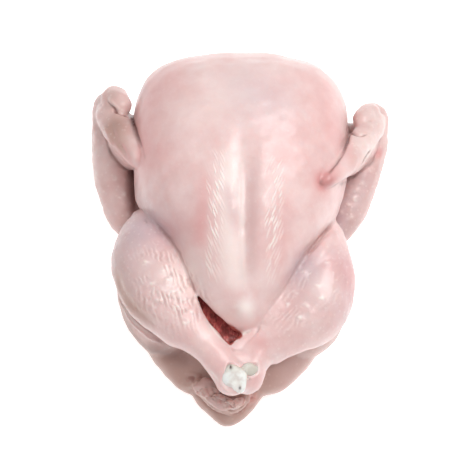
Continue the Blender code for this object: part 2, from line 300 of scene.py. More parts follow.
# The skin runs over all of it in one piece. A fine remesh joins the tubes, the emptied body is cut
# out, and a second remesh rounds the cut edges as cut flesh is.
grain = 0.0014
join = turkey.modifiers.new("join", "REMESH")
join.mode, join.voxel_size = "VOXEL", grain
vent_end = (-23, -176, 72, 14, 6)
cuts = (cavity, (*vent[:-1], vent_end), slit)
hollows = [closed_tubes("cut_tool", [limb(table)]) for table in cuts]
for tool in hollows:
    cut = turkey.modifiers.new("cut", "BOOLEAN")
    cut.operation, cut.solver, cut.object = "DIFFERENCE", "MANIFOLD", tool
again = turkey.modifiers.new("round_edges", "REMESH")
again.mode, again.voxel_size = "VOXEL", grain
mesh = applied(turkey)
for tool in hollows:
    bpy.data.objects.remove(tool)

# ---- The skin's own shape ----------------------------------------------------------------------
# Thin wet skin over the muscles: tight on the breast, lipped and creased where limbs fold, gathered
# round the cut ankles and the vent. Each crease and lip is a bell curve across a line of stations.
count = len(mesh.vertices)
points = np.empty(count * 3)
mesh.vertices.foreach_get("co", points)
points = points.reshape(-1, 3) * 1000
ends = np.empty(len(mesh.edges) * 2, np.int64)
mesh.edges.foreach_get("vertices", ends)
ends = ends.reshape(-1, 2)
valence = np.maximum(np.bincount(ends.ravel(), minlength=count), 1)[:, None]


def soften(values, passes, share=0.5):
    """Each pass moves every point's values a share of the way to the mean of its neighbours'."""
    values = values.reshape(count, -1)
    for _ in range(passes):
        total = np.empty_like(values)
        for k in range(values.shape[1]):
            total[:, k] = np.bincount(ends[:, 0], values[ends[:, 1], k], count)
            total[:, k] += np.bincount(ends[:, 1], values[ends[:, 0], k], count)
        values = values + share * (total / valence - values)
    return values


def outward():
    """The unit normal at each point of the mesh as it is now."""
    mesh.vertices.foreach_set("co", (points * 0.001).ravel())
    mesh.update()
    normals = np.empty(count * 3)
    mesh.vertex_normals.foreach_get("vector", normals)
    return normals.reshape(-1, 3)


def reach(stations, room=30):
    """The distance of each point from the line through the stations, and how far along, 0 to 1.

    Points further than the room outside the line's box are left at 999.
    """
    line = smooth_rows(stations, 5)
    apart, along = np.full(count, 999.0), np.zeros(count)
    boxed = (points > line.min(0) - room) & (points < line.max(0) + room)
    close = np.flatnonzero(boxed.all(axis=1))
    gone = run_length(line)
    for a, b, before in zip(line[:-1], line[1:], gone[:-1]):
        share = np.clip((points[close] - a) @ (b - a) / ((b - a) @ (b - a)), 0, 1)
        away = np.linalg.norm(points[close] - a - share[:, None] * (b - a), axis=1)
        nearer = away < apart[close]
        apart[close[nearer]] = away[nearer]
        along[close[nearer]] = (before + share[nearer] * np.linalg.norm(b - a)) / gone[-1]
    return apart, along


def line_mask(stations, width, fade=0.5):
    """exp(-(distance / width)^2), let down to nothing at both ends by a sine to the power fade."""
    apart, along = reach(stations)
    ends_down = np.where(apart < 900, np.sin(np.pi * np.clip(along, 0.001, 0.999)) ** fade, 0)
    return np.exp(-((apart / width) ** 2)) * ends_down


def spot_mask(spots):
    """The sum of bells strength exp(-(distance / radius)^2) from rows x, y, z, radius, strength."""
    total = np.zeros(count)
    for x, y, z, radius, strength in spots:
        total += strength * np.exp(-np.sum((points - (x, y, z)) ** 2, axis=1) / radius**2)
    return total


def ripple(where, wavelength, seed, waves=7):
    """The mean of sine waves in seeded directions, about -1 to 1, wavelength in millimetres."""
    chance = np.random.default_rng(seed)
    ways = unit(chance.normal(size=(waves, 3))) * chance.uniform(0.7, 1.4, (waves, 1))
    turns = where @ ways.T * (2 * np.pi / wavelength) + chance.uniform(0, 2 * np.pi, waves)
    return np.sin(turns).sum(1) / np.sqrt(waves)


def step(values, start, end):
    """A smooth step from 0 at start to 1 at end: 3t^2 - 2t^3."""
    t = np.clip((values - start) / (end - start), 0, 1)
    return t * t * (3 - 2 * t)


loose = step(np.linalg.norm((points - (-20, -184, 66)) * (0.9, 1.3, 1.3), axis=1), 32, 20)[:, None]
points = soften(points, 9) * (1 - loose) + soften(points, 3) * loose
normals = outward()

# Lines that are drawn twice: here as a lip or a crease, and further down as a tint in the skin.
thumb_lip = ((-143, 139, 111), (-138, 131, 113), (-134, 127, 113), (-129, 122, 112),
    (-121, 123, 109))
thumb_crease = ((-137, 126, 111), (-134, 121, 109), (-129, 117, 109), (-121, 118, 106),
    (-114, 118, 106))
web_edge = ((-150, 108, 108), (-145, 96, 108), (-141, 85, 104), (-135, 75, 95), (-128, 68, 85),
    (-118, 65, 80))
palm_fold = ((126, 52, 124), (130, 60, 128), (136, 72, 121))
palm_wrinkle = ((138, 62, 88), (141, 70, 92), (142, 78, 96))
leg_gap = ((-101, -2, 112), (-95, -16, 117), (-87, -27, 119), (-78, -38, 119), (-71, -48, 119),
    (-63, -60, 118), (-56, -71, 115))
vent_rim = ((-45, -177, 68), (-41, -181, 66), (-36, -183, 65), (-30, -187, 67), (-24, -192, 67),
    (-18, -195, 66))
vent_top = ((-29, -180, 71), (-23, -181, 71), (-16, -184, 71))
vent_right = ((2, -183, 67), (-1, -186, 67), (-6, -191, 67), (-11, -195, 66))
vent_crease = ((-30, -183, 70), (-23, -186, 70), (-16, -190, 69), (-11, -193, 68))
vent_crease_right = ((-14, -186, 71), (-7, -187, 70), (0, -185, 69))
vent_crease_left = ((-42, -175, 70), (-36, -176, 71), (-29, -177, 70))
hock_rim = ((17, -156, 107), (18, -161, 106), (16, -166, 106), (10, -168, 105), (5, -174, 110),
    (2, -178, 108), (4, -184, 104))
keel_crest = ((0, 34, 179), (1, 10, 173), (1, -18, 165), (1, -44, 156), (2, -70, 144),
    (3, -92, 133))
keel_rim = ((-30, -100, 118), (-18, -110, 117), (-4, -116, 114), (10, -117, 112), (20, -111, 114))
# Folds and lips, as (height, half-width, stations); a minus sign is a crease.
folds = (
    # left wing: under the thumb and its lip, beside the hand, the edge of the web, the wrist
    (-2.6, 1.6, ((-145, 135, 110), (-141, 129, 112), *thumb_crease)),
    (1.3, 2.2, thumb_lip),
    (-1.5, 3.4, ((-140, 108, 112), (-136, 95, 117), (-130, 81, 122), (-124, 69, 128),
        (-117, 58, 130))),
    (0.9, 1.8, web_edge),
    (-0.8, 1.5, ((-154, 105, 98), (-148, 103, 108), (-142, 104, 114))),
    # right wing: under the thumb, wrinkles of the palm
    (-1.8, 1.5, ((117, 94, 119), (121, 89, 124), (126, 87, 126), (132, 89, 124), (136, 92, 119))),
    (0.8, 2.0, ((119, 97, 120), (124, 92, 126), (130, 91, 126))),
    (-1.4, 1.3, palm_fold),
    (-1.2, 1.4, palm_wrinkle),
    (1.3, 1.8, ((142, 72, 84), (145, 81, 86), (147, 88, 86))),
    # left wing: the crumpled edge of the web behind the hand
    (1.1, 1.6, ((-150, 110, 103), (-146, 101, 110), (-141, 92, 113), (-137, 81, 112))),
    (1.0, 1.5, ((-152, 106, 92), (-149, 98, 94), (-144, 88, 92), (-138, 80, 84))),
    # left leg: the furrow inside the drumstick's lower edge, and the pleat of skin under it
    (-3.0, 6.5, ((-129, -56, 108), (-127, -63, 108), (-125, -71, 107), (-120, -80, 107),
        (-113, -90, 109), (-105, -100, 109), (-94, -110, 109), (-82, -119, 110), (-68, -127, 112))),
    # thin gaps where the wings and the left leg lie against the breast
    (-1.8, 1.3, ((116, 103, 108), (116, 95, 113), (112, 77, 130), (105, 59, 143), (95, 41, 152),
        (89, 34, 155))),
    (-1.6, 1.4, ((-115, 112, 106), (-113, 99, 119), (-109, 82, 131), (-103, 64, 141),
        (-100, 54, 143))),
    (-1.4, 1.3, leg_gap),
    # left leg: the pleat of skin low on its side, and the crease above it
    (3.0, 2.6, ((-130, -68, 62), (-121, -88, 70), (-112, -102, 71), (-102, -112, 72),
        (-92, -121, 73), (-78, -129, 75), (-62, -136, 78))),
    (-1.4, 2.2, ((-126, -66, 72), (-117, -85, 79), (-108, -99, 79), (-98, -109, 80),
        (-86, -119, 81), (-72, -128, 82))),
    # right leg: the fold from the keel's tip to the shank
    (-1.8, 2.0, ((20, -118, 107), (15, -124, 109), (8, -131, 109), (0, -139, 109))),
    (1.2, 2.0, ((13, -121, 109), (9, -126, 110), (2, -132, 109))),
    # the vent's loose skin, rim by rim
    (0.9, 1.4, vent_rim),
    (0.9, 1.2, vent_top),
    (-1.4, 1.3, vent_crease),
    (-1.3, 1.2, vent_crease_right),
    (1.0, 1.4, vent_right),
    (-1.2, 1.4, vent_crease_left),
    # the thin rim of skin round the cut hocks
    (0.8, 1.3, ((-20, -180, 108), (-15, -184, 107), (-10, -187, 104), (-6, -188, 101),
        (0, -188, 98))),
    (0.9, 1.2, hock_rim),
    # the crest of the breastbone, down the left edge of the furrow
    (0.7, 2.4, keel_crest),
    # the neck skin, drawn down and tucked under in soft folds
    (-2.6, 4.5, ((-50, 185, 78), (-36, 184, 53), (-22, 176, 33), (-12, 163, 19))),
    (2.0, 5.0, ((-26, 188, 82), (-18, 187, 56), (-9, 178, 32))),
    (-2.4, 4.5, ((4, 188, 86), (5, 188, 58), (6, 178, 32))),
    (2.0, 5.0, ((30, 188, 82), (25, 187, 56), (19, 178, 32))),
    (-2.6, 4.5, ((56, 184, 78), (44, 184, 53), (32, 176, 33), (22, 162, 19))),
    # under the vent's loose skin
    (-2.2, 2.2, ((-42, -178, 47), (-28, -188, 46), (-14, -194, 45), (0, -190, 46), (9, -180, 47))),
)
x, y, z = points.T
lift = np.zeros(count)
for height, width, stations in folds:
    lift += height * line_mask(stations, width, 0.3)
# The vent's loose skin is crumpled: ridges 0.5 - |ripple| in random directions.
gathered = step(reach([row[:3] for row in vent_skin])[0], 16, 10)
broad_ridges, fine_ridges = (0.5 - np.abs(ripple(points, *kind)) for kind in ((17, 5), (9, 6)))
lift += gathered * (1.1 * broad_ridges + 0.6 * fine_ridges)


def oval_axes(facing, long_way):
    """An oval's normal, and the directions of its length and of its width."""
    facing = unit(np.array(facing, float))
    first = unit(np.cross(np.cross(facing, long_way), facing))
    return facing, first, np.cross(facing, first)


def oval(middle, facing, long_way, half_long, half_short):
    """sqrt((a / half-length)^2 + (b / half-width)^2), waved by its angle, and the height."""
    facing, first, second = oval_axes(facing, long_way)
    apart = points - np.array(middle, float)
    a, b = apart @ first / half_long, apart @ second / half_short
    turn = np.arctan2(b, a)
    return np.hypot(a,
        b) * (1 + 0.07 * np.cos(3 * turn + 1) + 0.05 * np.cos(5 * turn)), apart @ facing


# Each ankle was cut through its joint: the skin shrinks back from the gristle in a low collar.
ankle_cuts = (
    ((-6.5, -173, 111.5), (0.05, -0.45, 0.9), (0.35, -0.9, 0), 14.5, 12.5),
    ((7.5, -163, 107.5), (0.2, -0.35, 0.9), (1, 0.1, 0), 10.5, 7),
)
for cut_face in ankle_cuts:
    ring, over = oval(*cut_face)
    near = step(np.abs(over), 14, 9)
    lift += near * (0.5 * np.exp(-(((ring - 1.15) / 0.13) ** 2)) - 1.8 * step(ring, 1.05, 0.8))
# Goose bumps stand wet on the drumsticks, and flecks of fat on both forearms; further down all of
# them are painted pale on top, as painted glints.
bumps = spot_mask([
    (-137, 60, 73, 2.2, 1.0), (-127, 44, 66.5, 2.2, 1.0), (-132, 39, 66, 2.0, 0.9),
    (-120, 58, 60, 1.6, 0.6), (-97, -56, 130, 2.6, 0.8), (-79, -67, 130, 2.8, 0.8),
    (-74, -75, 130, 2.8, 0.8), (-90, -78, 130, 2.6, 0.7), (-70, -88, 128, 3.0, 0.8),
    (-59, -94, 125, 3.0, 0.8), (-50, -106, 121, 2.6, 0.7), (-82, -95, 127, 2.6, 0.7),
    (-66, -103, 125, 3.2, 0.8), (-56, -117, 121, 3.2, 0.8), (63, -64, 121, 2.6, 0.7),
    (78, -79, 125, 3.2, 0.7), (81, -92, 123, 3.0, 0.8), (65, -99, 122, 3.2, 0.9),
    (59, -112, 119, 3.0, 0.8), (88, -53, 123, 2.6, 0.7), (47, -97, 116, 2.6, 0.7),
    (56, -84, 118, 2.8, 0.7), (126, 48, 71, 2.6, 0.8), (124, 38, 68, 2.8, 0.8),
    (110, 25, 61, 2.4, 0.6), (142, 68, 77, 2.4, 0.7), (117, 32, 65, 2.2, 0.6),
    (132, 53, 73, 2.2, 0.6), (121, 20, 62, 2.2, 0.6),
])
bumps *= np.clip(0.7 + 0.6 * ripple(points, 6, 9), 0, 1.4)
lift += bumps
# The breast swells a little between the left wing and thigh.
lift += spot_mask([(-107, 27, 90, 22, 5.0)]) * step(x, -118, -112)
# Muscles and fat under the skin, and fine crosswise wrinkles on the legs and wings.
open_skin = 1 - step(np.sum((soften(points, 60) - points) * normals, axis=1), 0.2, 1.5)
lift += open_skin * (0.5 * ripple(points, 46, 1) + 0.22 * ripple(points, 19, 2))
leg_left = step(reach([row[:3] for row in drumstick_left])[0], 60, 34)
leg_right = step(reach([row[:3] for row in drumstick_right])[0], 60, 34)
top_side = step(normals[:, 2], -0.2, 0.5)
legs = np.clip(leg_left * step(x, -20, -40) + leg_right * step(x, 15, 34), 0, 1) * top_side
wings = np.maximum(step(-x, 112, 124), step(x, 108, 120)) * step(y, 0, 12)
wrinkled = spot_mask([(-74, -62, 126, 30, 1.0), (-52, -96, 118, 24, 1.0), (70, -84, 120, 26, 0.45),
    (88, -58, 118, 22, 0.25), (46, -108, 114, 18, 0.45), (-84, -92, 122, 22, 0.8)])
wrinkled = np.clip(wrinkled, 0, 1) * legs
crinkled = (legs * 0.12 + wings * 0.25) * ripple(points, 11, 4)
lift += open_skin * (wrinkled * 0.4 * ripple(points, 9, 3) + crinkled)
points = points + normals * lift[:, None]
x, y, z = points.T
normals = outward()
hollow = np.sum((soften(points, 30) - points) * normals, axis=1)
deep = np.sum((soften(points, 160) - points) * normals, axis=1)

# Where the skin is flushed, pale, tanned or veined, and where painted highlight and painted shade
# lie on it, worked out point by point for its material.
blush = spot_mask([
    (-44, -50, 148, 26, 0.25), (60, 60, 178, 40, 0.12), (-70, -18, 136, 22, 0.35),
    (-76, 44, 154, 26, 0.2), (-42, -122, 116, 16, 0.35), (45, -104, 114, 18, 0.25),
    (150, 86, 82, 7, 0.9), (-140, 92, 106, 10, 0.25), (-84, 138, 150, 34, 0.45),
    (-110, 84, 130, 34, 0.75), (-100, 50, 140, 28, 0.35), (100, 80, 145, 26, 0.55),
    (90, 122, 150, 30, 0.3), (85, 22, 156, 11, 1.5), (96, 36, 150, 9, 0.5),
    (-20, -158, 112, 12, 0.35), (18, -136, 108, 10, 0.5), (45, 40, 182, 14, 0.25),
    (-126, 60, 80, 12, 0.4), (143, 60, 95, 10, 0.6), (14, -172, 102, 9, 0.4),
    (112, -62, 98, 26, 0.65), (-28, -138, 112, 16, 0.3), (92, -66, 120, 20, 0.25),
    (12, -178, 46, 8, 0.4),
])
blush *= 1 - step(-x, 104, 112) * step(normals[:, 0] + 0.6 * normals[:, 2], -0.6, 0.0)
blush += 0.55 * line_mask(((-34, 26, 178), (-38, 0, 170), (-41, -25, 158), (-43, -48, 146)), 9)
blush += 0.35 * line_mask(((46, 10, 174), (45, -20, 164), (42, -48, 149), (34, -76, 134)), 10)
blush += line_mask(keel_rim, 6)
# Pale fat down the left wall of the keel's furrow, painted paler still as a painted highlight where
# that wall faces the light, and pale spots, one of them a broad painted highlight high on the
# breast.
pallor_and_highlight = 0.8 * line_mask(((-8, 52, 183), (-11, 30, 180), (-12, 0, 171), (-11, -30, 160),
    (-9, -60, 147), (-4, -90, 133)), 12, 0.35)
pallor_and_highlight += 0.35 * line_mask(keel_crest[:5], 2.6)
pallor_and_highlight += spot_mask([(5, -103, 127, 8, 1.0), (-34, -128, 112, 14, 0.6), (-60, -75, 118, 24, 0.25),
    (84, -78, 122, 18, 0.35), (-16, 112, 184, 42, 0.3), (128, 72, 122, 18, 0.6),
    (144, 112, 100, 18, 0.35), (-48, -62, 132, 22, 0.35), (-118, -86, 70, 10, 0.3)])
pallor_and_highlight += 0.35 * line_mask(web_edge, 1.8)
for share, width, fade, rim in (
    (0.9, 1.7, 0.2, ((-50, -76, 117), (-44, -93, 113), (-36, -109, 109), (-29, -122, 110),
        (-21, -131, 109), (-12, -137, 107))),
    (0.9, 1.7, 0.2, ((-9, -135, 105), (-4, -131, 104), (2, -124, 104), (9, -121, 107))),
    (0.7, 1.6, 0.5, ((-34, -158, 108), (-29, -166, 108), (-22, -173, 109), (-16, -181, 108),
        (-8, -187, 102), (1, -189, 96))),
    (0.5, 1.8, 0.25, thumb_lip), (0.8, 1.2, 0.25, hock_rim), (0.7, 1.3, 0.25, vent_top),
    (0.7, 1.4, 0.25, vent_right), (0.5, 1.6, 0.25, vent_rim[:5]),
    (0.6, 1.3, 0.25, ((-124, -84, 72), (-114, -101, 74), (-103, -111, 76), (-90, -121, 78),
        (-78, -130, 92), (-66, -134, 103))),
):
    pallor_and_highlight += share * line_mask(rim, width, fade)
# Each goose bump and forearm fleck is painted pale on top, as a painted glint of wet light.
pallor_and_highlight += 0.9 * np.clip(bumps, 0, 1)
# A grey painted shade of a shallow fold lies left of the crest: pallor is taken away there and a
# grey tint added.
shade = line_mask(((-16, 14, 177), (-13, 2, 173), (-10, -10, 168), (-8, -24, 162), (-5, -40, 156)),
    6, 0.5)
pallor_and_highlight -= 0.7 * shade
# The rim of the keel's tip is painted paler above its blush, as painted light where it turns away
# from the lamps.
pallor_and_highlight += 0.5 * line_mask(((-28, -97, 125), (-20, -107, 119), (-10, -113, 115), (0, -117, 114),
    (9, -117, 114), (17, -111, 116)), 8, 0.3)
# The breast's left flank is in the wing's shade.
flank = step(x, -119, -114) * line_mask(((-108, 116, 104), (-113, 88, 100), (-114, 58, 98),
    (-110, 30, 100), (-104, 6, 104)), 15, 0.3)
# The flank's shade and the shaded right wall of the keel's furrow are painted in the muscle tint,
# as painted shade over the muscle that shows through.
muscle_and_shade = 0.9 * flank + 0.8 * line_mask(((12, 40, 180), (11, 10, 172), (10, -20, 162), (9, -50, 150),
    (9, -78, 138)), 8, 0.5)
# Low on the seat, thighs and tail the skin is painted tan, partly its own darker tone and partly
# painted shade; the spots and lines below add painted shade, most of it on the left drumstick's
# lower side and furrow and round the left wing's hand.
seat = step(z, 84, 50) * step(y, -40, -90)
tan_and_shade = seat * (1 - 0.35 * step(x, 25, 50)) + 0.22 * step(-x, 112, 124)
tan_and_shade += spot_mask([(-118, -78, 96, 24, 0.55), (-104, -98, 100, 18, 0.4), (-126, 84, 124, 16, 0.45),
    (-134, 104, 116, 16, 0.75), (-140, 136, 110, 14, 0.4), (-116, 64, 128, 10, 0.3),
    (-95, -60, 120, 26, 0.2), (62, -104, 108, 22, 0.25), (112, 14, 56, 18, 0.25)])
tan_and_shade += 0.7 * line_mask(((-129, -54, 106), (-126, -66, 106), (-121, -79, 106), (-112, -90, 108),
    (-100, -103, 109), (-84, -117, 110)), 9, 0.4)
tan_and_shade += 0.5 * line_mask(((-144, 106, 108), (-139, 96, 112), (-133, 84, 118), (-126, 73, 122),
    (-119, 62, 126)), 5)
tan_and_shade = np.clip(tan_and_shade + 0.25 * step(x, 108, 120) + 0.6 * gathered, 0, 1)
# The painted shade left of the keel's crest greys the skin here too; the spots are the skin's own
# lilac-grey tone.
vein_and_shade = 0.35 * shade
vein_and_shade += spot_mask([(112, 18, 60, 16, 0.7), (124, 40, 68, 15, 0.6), (134, 62, 74, 12, 0.5),
    (104, 4, 52, 14, 0.9), (-116, -42, 100, 32, 0.75), (-104, -72, 98, 28, 0.6),
    (-98, -20, 112, 24, 0.5), (110, -55, 100, 26, 0.7), (98, -88, 96, 26, 0.6),
    (60, -98, 108, 20, 0.4), (64, -60, 116, 16, 0.5), (24, 100, 182, 34, 0.5),
    (-100, -10, 108, 24, 0.6), (66, -62, 118, 20, 0.8), (-6, 120, 180, 26, 0.35),
    (-70, -20, 130, 26, 0.4)])


def within(stations):
    """Each point's distance from a tube's middle line, as a share of its own ellipse there."""
    rows = smooth_rows(stations)
    line = rows[:, :3]
    along = unit(np.gradient(line, axis=0))
    across = unit(np.cross(along, (0, 0, 1)))
    up = np.cross(across, along)
    nearest = np.zeros(count, int)
    best = np.full(count, 1e9)
    for k, place in enumerate(line):
        away = np.sum((points - place) ** 2, axis=1)
        nearest = np.where(away < best, k, nearest)
        best = np.minimum(away, best)
    apart = points - line[nearest]
    a = np.sum(apart * across[nearest], axis=1) / rows[nearest, 3]
    b = np.sum(apart * up[nearest], axis=1) / rows[nearest, 4]
    c = np.sum(apart * along[nearest], axis=1) / np.maximum(rows[nearest, 3], 8)
    return np.sqrt(a**2 + b**2 + c**2)


vent_wall = step(within(vent), 1.12, 1.04) * step(y, -166, -156)
slit_wall = step(within(slit), 1.3, 1.1) * step(z, 113, 108)
inside = np.maximum(step(within(cavity), 1.08, 1.02), np.maximum(vent_wall, slit_wall))

# Feather pits and the herring-bone of short strokes each side of the breastbone, 6.4 mm apart.
left_row, left_along = reach(((-21, 46, 183), (-23, 28, 179), (-26, 5, 172), (-28, -20, 164),
    (-31, -50, 150), (-31, -84, 135)))
right_row, right_along = reach(((34, 40, 180), (35, 14, 175), (34, -6, 170), (31, -30, 161),
    (28, -55, 150), (25, -84, 134)))
herring = 0
for row, along, width in ((left_row, left_along, 9.5), (right_row, right_along, 11.5)):
    herring = herring + np.exp(-((row / width) ** 2)) * np.sin(np.pi * np.clip(along, 0, 1)) ** 0.5
side = np.where(x < 3, 1.0, -1.0)
across = np.where(side > 0, x + 26, x - 33)
stroke = (y + side * 2.0 * across + 1.2 * ripple(points, 26, 8)) / 6.4
follicle = np.clip(0.35 * legs + 0.35 * wings + 0.2, 0, 1)

# How far round each drumstick, for its wet wrinkles, and painted shade as dark lines in the gaps
# where skin lies on skin.
leg_run = np.where(x < 0, x + 0.3 * y, 0.8 * x - 0.6 * y)
line = 0.9 * line_mask(((-143, 132, 111), *thumb_crease), 1.2, 0.3)
line += 0.8 * line_mask(((117, 94, 116), (122, 87, 125), (127, 86, 126), (132, 89, 123)), 1.1, 0.3)
# Where skin merely lies on skin the painted fold shade is taken away, and only the thin line of
# painted shade stays.
clear = spot_mask([(-106, 22, 100, 24, 0.9), (-104, -2, 108, 18, 0.8), (-96, 44, 138, 16, 0.5),
    (96, 56, 142, 18, 0.7), (88, 34, 152, 12, 0.6)])
clear += 0.85 * line_mask(((-101, -4, 112), (-87, -27, 119), (-71, -48, 119), (-56, -71, 115)), 9,
    0.3)
clear += 0.85 * line_mask(((98, -20, 112), (82, -43, 118), (60, -71, 117), (40, -97, 111),
    (24, -116, 107)), 11, 0.2)
clear += 0.8 * line_mask(keel_rim, 9, 0.3)
clear += 0.9 * line_mask(((-112, 96, 74), (-114, 60, 78), (-110, 30, 84), (-104, 8, 92)), 22,
    0.3) * step(x, -119, -114)
clear = 1 - np.clip(clear, 0, 0.9)
# Painted shade in the gaps and crevices: under the left thigh's pleat, beside the wings and the
# left leg, under the hocks, in the vent's creases and in the palm.
for share, width, stations in (
    (0.5, 10.0, ((-124, -98, 56), (-110, -114, 56), (-98, -126, 56), (-85, -132, 59),
        (-70, -136, 57), (-54, -139, 58))),
    (0.45, 2.6, ((-116, -98, 69), (-106, -108, 70), (-94, -117, 71), (-80, -127, 74),
        (-66, -134, 78))),
    (0.9, 2.0, ((-117, 118, 104), (-115, 108, 112), (-112, 99, 120), (-108, 82, 131),
        (-102, 64, 140), (-100, 54, 142))),
    (0.8, 9.0, ((-122, 78, 62), (-120, 61, 60), (-118, 49, 60), (-117, 38, 58), (-114, 28, 55),
        (-112, 16, 50))),
    (0.85, 3.0, ((-118, 128, 86), (-115, 112, 104), (-113, 102, 112))),
    (0.8, 1.3, (*leg_gap, (-48, -82, 114))),
    (0.7, 1.5, ((2, -162, 111), (3, -167, 110), (6, -171, 108), (9, -172, 106))),
    (0.9, 4.0, ((-30, -177, 69), (-25, -176, 70), (-20, -177, 70), (-15, -179, 70), (-9, -181, 70),
        (-2, -179, 66))),
    (0.6, 1.2, vent_crease), (0.5, 1.2, vent_crease_right), (0.5, 1.3, vent_crease_left),
    (0.5, 1.2, ((146, 85, 87), (145, 79, 81), (140, 72, 80))),
    (0.9, 1.6, ((115, 106, 108), (115, 97, 116), (115, 89, 120), (111, 76, 130), (106, 60, 142),
        (98, 44, 150), (90, 31, 157))),
    (0.9, 2.4, ((115, 104, 110), (116, 97, 117), (117, 92, 120))),
    (0.6, 1.6, ((103, 31, 127), (111, 44, 100), (117, 59, 70), (124, 62, 73), (132, 67, 79))),
    (0.8, 1.2, palm_fold), (0.4, 1.2, palm_wrinkle),
    (0.7, 1.6, ((84, 18, 155), (81, 20, 156), (82, 24, 158))),
    (0.5, 1.4, ((-147, 99, 100), (-144, 90, 83), (-138, 83, 78), (-132, 75, 74), (-123, 71, 72))),
):
    line += share * line_mask(stations, width, 0.2)
breast_side = step(x, -117, -113) * step(-x, 96, 102)
line *= 1 - 0.9 * breast_side * step(y, 90, 70) * step(z, 52, 66)
# The wing's shade on the breast's left flank, and small spots of painted shade by the left wing's
# hand, at the right wing's tip and at the left hock.
line += 0.14 * flank
line += spot_mask([(-11.2, -160.5, 115.5, 2.2, 0.9), (-12, -155, 113, 1.4, 0.5),
    (-134, 104, 116, 15, 0.16), (88, 23, 156, 9, 0.22)])


def paint(mesh, masks):
    """Stores each mask on the mesh, one number per point, for the material to read."""
    for name, values in masks.items():
        layer = mesh.attributes.new(name, "FLOAT", "POINT")
        layer.data.foreach_set("value", np.asarray(values, np.float32).ravel())


shares = {"blush": blush, "pallor_and_highlight": pallor_and_highlight, "muscle_and_shade": muscle_and_shade, "vein_and_shade": vein_and_shade, "herring": herring,
    "line": line}
painted = {
    "fold": np.clip(hollow / 1.1, -1, 1) * clear, "deep": np.clip(deep / 3.5, -1, 1) * clear,
    "tan_and_shade": tan_and_shade, "inside": inside, "stroke": stroke, "follicle": follicle, "across": across,
    "leg_run": leg_run, "wrinkled": wrinkled,
    **{name: np.clip(values, 0, 1) for name, values in shares.items()},
}
paint(mesh, painted)

# The bird is moved so that the middle of its box is over the CAD node's. Its own weight presses its
# back flat on the floor.
pressed = 2.5
node_low, node_high = map(np.array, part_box("turkey"))
low, high = points.min(0), points.max(0)
move = (node_low + node_high) * 500 - (low + high) / 2
move[2] = -pressed
points = points + move
points[:, 2] = np.maximum(points[:, 2], 0.0)
outward()
mesh.shade_smooth()
most_triangles = 194000
thin = turkey.modifiers.new("thin", "DECIMATE")
mesh.calc_loop_triangles()
thin.ratio = min(1.0, most_triangles / len(mesh.loop_triangles))
mesh = applied(turkey)
# The thinning leaves a few slivers with edges under 0.3 mm, which are closed up again.
sliver = 0.0003
surface = bmesh.new()
surface.from_mesh(mesh)
bmesh.ops.dissolve_degenerate(surface, dist=sliver, edges=surface.edges)
surface.to_mesh(mesh)
surface.free()

# ---- Raw skin ----------------------------------------------------------------------------------
# Plucked poultry skin, cold and damp: thin, pinkish cream, see-through enough that muscle, fat and
# veins tint it from below, with a broad wet sheen and small glints on every wrinkle, part of them
# painted in as highlight, and painted shade in its folds and gaps.


def colour(hex_code):
    """An sRGB hex value as linear red, green, blue and alpha 1."""
    channels = [int(hex_code[i : i + 2], 16) / 255 for i in (0, 2, 4)]
    return (*(c / 12.92 if c <= 0.04045 else ((c + 0.055) / 1.055) ** 2.4 for c in channels), 1.0)


def add(tree, kind, inputs=(), output=0, **settings):
    """Adds one shader node with its settings and a number or a link for each input that is named.

    It gives back one of the node's outputs.
    """
    node = tree.nodes.new("ShaderNode" + kind)
    for name, value in settings.items():
        setattr(node, name, value)
    for name, value in dict(inputs).items():
        if isinstance(value, bpy.types.NodeSocket):
            tree.links.new(value, node.inputs[name])
        else:
            node.inputs[name].default_value = value
    return node.outputs[output]


def new_material(name, numbers):
    """A material whose Principled shader has these numbers, its node tree and that shader."""
    made = bpy.data.materials.new(name)
    made.use_nodes = True
    principled = made.node_tree.nodes["Principled BSDF"]
    for socket, value in numbers.items():
        principled.inputs[socket].default_value = value
    return made, made.node_tree, principled


skin, tree, shader = new_material("raw_poultry_skin", {
    "IOR": 1.42, "Subsurface Weight": 0.3, "Subsurface Radius": (1.0, 0.45, 0.35),
    "Subsurface Scale": 0.004, "Coat Weight": 0.35, "Coat Roughness": 0.22,
})
place = add(tree, "TexCoord", output="Object")
mask = {name: add(tree, "Attribute", output="Fac", attribute_name=name) for name in painted}
# Mottling of fat and blood under the skin, in patches of about 28 mm and 4 mm.
patches = add(tree, "TexNoise", {"Vector": place, "Scale": 36.0, "Detail": 4.0, "Roughness": 0.6})
specks = add(tree, "TexNoise", {"Vector": place, "Scale": 260.0, "Detail": 2.0})
broad = add(tree, "MapRange", {"Value": patches, "From Min": 0.35, "From Max": 0.65})
tone = add(tree, "Mix", {0: broad, 6: colour("ebcfcc"), 7: colour("e3bfbc")}, 2, data_type="RGBA")
for name, hex_code, share in (
    ("vein_and_shade", "c8b1b6", 0.85), ("tan_and_shade", "c29e94", 1.0), ("muscle_and_shade", "c69e9c", 0.8),
    ("blush", "d98c8a", 0.75), ("pallor_and_highlight", "fbf0ea", 0.85),
):
    part = add(tree, "Math", {0: mask[name], 1: share}, operation="MULTIPLY")
    tone = add(tree, "Mix", {0: part, 6: tone, 7: colour(hex_code)}, 2, data_type="RGBA")
